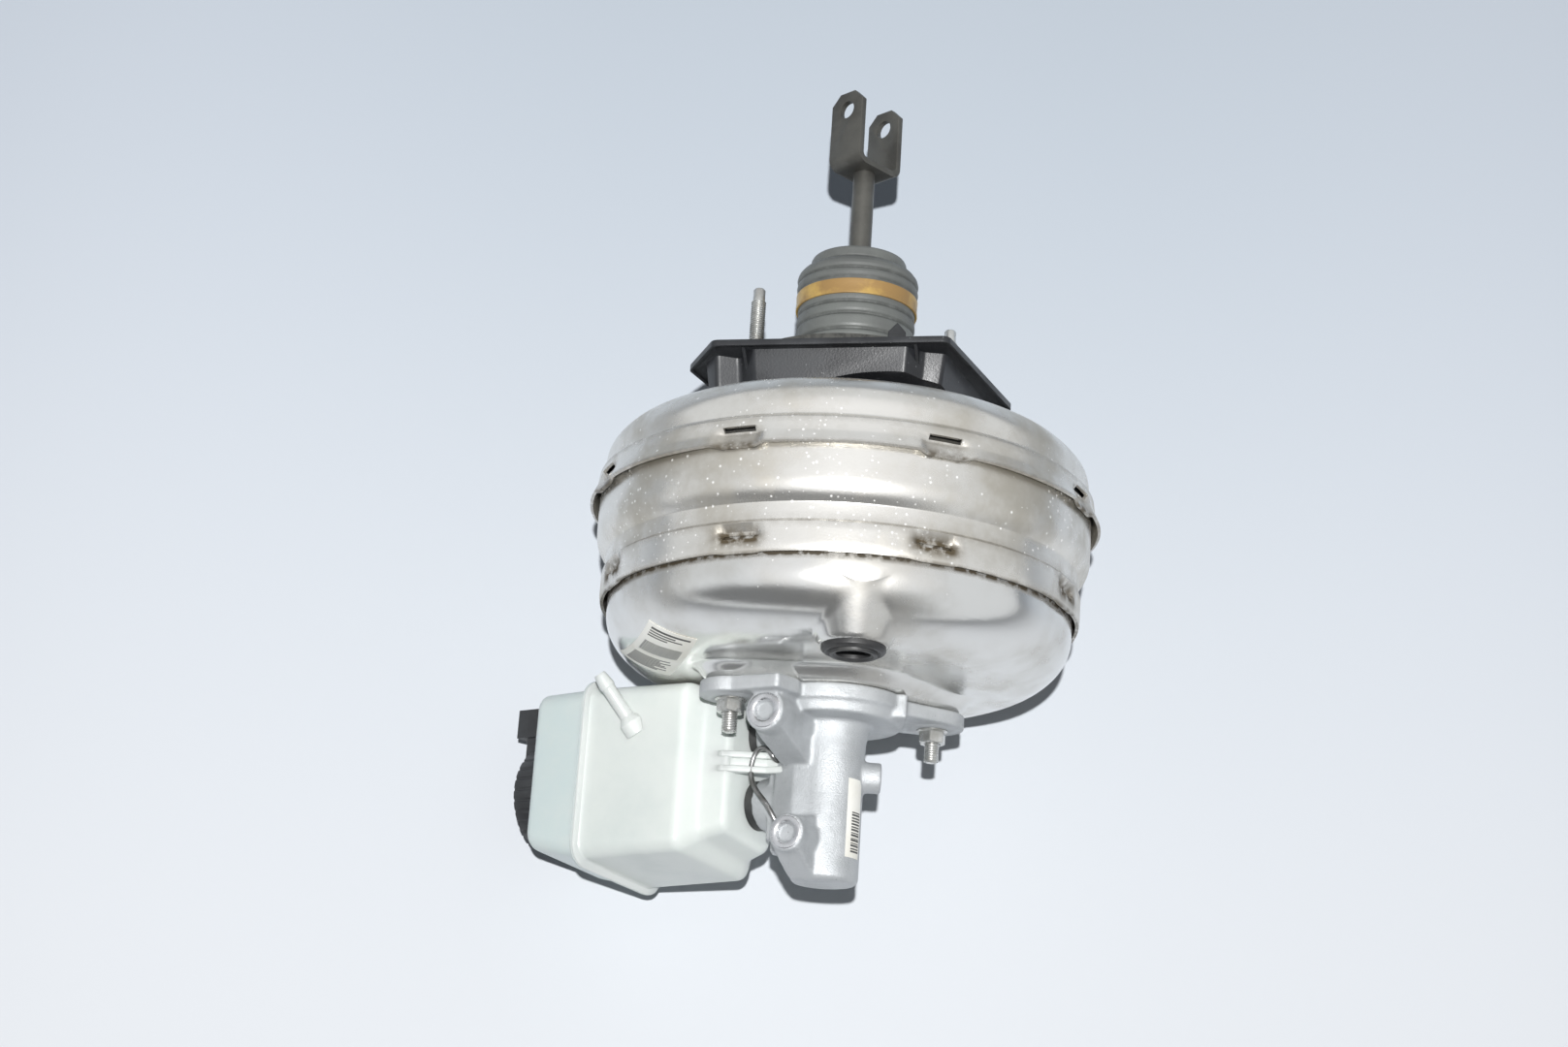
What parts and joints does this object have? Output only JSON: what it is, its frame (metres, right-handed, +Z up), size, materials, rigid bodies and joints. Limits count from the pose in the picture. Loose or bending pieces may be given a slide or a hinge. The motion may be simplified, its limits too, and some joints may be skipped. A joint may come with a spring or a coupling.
{
  "type": "tandem vacuum brake booster",
  "caption": "Round pressed-steel vacuum brake booster with pedal rod and clevis, dust boot, mounting frame, tandem master cylinder and fluid reservoir",
  "frame": {"origin": "centre of the two rear studs, on the mounting frame's rear face that meets the bulkhead", "axes": "+Y along the booster towards the pedal, +X to the right, +Z up as the assembly lies on the rim of its drum"},
  "size_m": [0.3087, 0.441, 0.2712],
  "materials": {
    "pressed_steel": "satin coated sheet",
    "plated_steel": "zinc plated",
    "spring_steel": "drawn wire",
    "dark_steel": "dark coated",
    "cast_aluminium": "as cast, bead blasted",
    "machined_aluminium": "turned",
    "black_plastic": "moulded",
    "black_rubber": "moulded",
    "grey_rubber": "moulded, dusty",
    "foam_rubber": "closed cell foam",
    "gold_band": "yellow passivated",
    "tank_plastic": "milky, translucent",
    "phenolic": "moulded",
    "filter_felt": "felt"
  },
  "bodies": {
    "root": {"rear_shell": "pressed_steel", "mid_shell": "pressed_steel", "front_shell": "pressed_steel", "centre_wall": "pressed_steel", "tie_rods": "plated_steel", "master_cylinder_nuts": "plated_steel", "mounting_frame": "black_plastic", "frame_gasket": "foam_rubber", "hub_seal": "black_rubber", "guide_bush": "black_plastic", "centre_wall_seal": "black_rubber", "centre_wall_rod_seals": "black_rubber", "dust_boot": "grey_rubber", "boot_band": "gold_band", "boot_clip": "black_plastic", "vacuum_grommet": "black_rubber", "front_diaphragm": "black_rubber", "rear_diaphragm": "black_rubber", "return_spring": "spring_steel", "master_cylinder_body": "cast_aluminium", "flange_seal": "black_rubber", "circlip": "spring_steel", "reservoir_grommets": "black_rubber", "reservoir_lower": "tank_plastic", "reservoir_upper": "tank_plastic", "cap_seal": "black_rubber", "strainer": "tank_plastic", "level_sensor": "black_plastic", "wire_clip": "spring_steel", "secondary_spring": "spring_steel"},
    "servo": {"valve_body": "phenolic", "rear_piston_plate": "pressed_steel", "front_piston_plate": "pressed_steel", "piston_rod_seals": "black_rubber", "retaining_key": "plated_steel", "reaction_disc": "black_rubber", "output_rod": "plated_steel", "air_filter": "filter_felt", "poppet_valve": "black_rubber", "valve_retainer": "plated_steel", "poppet_spring": "spring_steel", "rod_return_spring": "spring_steel"},
    "pedal_rod": {"input_rod": "dark_steel", "clevis": "dark_steel", "valve_plunger": "plated_steel"},
    "primary": {"primary_piston": "machined_aluminium", "primary_cups": "black_rubber", "primary_spring": "spring_steel"},
    "secondary": {"secondary_piston": "machined_aluminium", "secondary_cups": "black_rubber"},
    "cap": {"reservoir_cap": "black_plastic"},
    "float_body": {"float": "black_plastic"}
  },
  "joints": [
    {"name": "servo_slide", "type": "slide", "parent": "root", "child": "servo", "axis": [0, -1, 0], "range_m": [0, 0.034], "stiffness_N_per_m": 3000, "springref_m": -0.02, "deforming": ["return_spring", "front_diaphragm", "rear_diaphragm"]},
    {"name": "pedal_slide", "type": "slide", "parent": "servo", "child": "pedal_rod", "axis": [0, -1, 0], "range_m": [0, 0.0016], "stiffness_N_per_m": 4000, "springref_m": -0.005, "deforming": ["rod_return_spring"]},
    {"name": "primary_slide", "type": "slide", "parent": "root", "child": "primary", "axis": [0, -1, 0], "range_m": [0, 0.034], "deforming": ["primary_spring"]},
    {"name": "secondary_slide", "type": "slide", "parent": "root", "child": "secondary", "axis": [0, -1, 0], "range_m": [0, 0.017], "deforming": ["secondary_spring"]},
    {"name": "cap_turn", "type": "hinge", "parent": "root", "child": "cap", "pos_m": [0, -0.217, 0], "axis": [-0.8192, 0, -0.5736], "range_deg": [0, 90]},
    {"name": "float_slide", "type": "slide", "parent": "root", "child": "float_body", "axis": [0.8192, 0, 0.5736], "range_m": [0, 0.026]}
  ],
  "couplings": [
    {"joint": "primary_slide", "follows": "servo_slide", "ratio": 1},
    {"joint": "secondary_slide", "follows": "servo_slide", "ratio": 0.5}
  ]
}
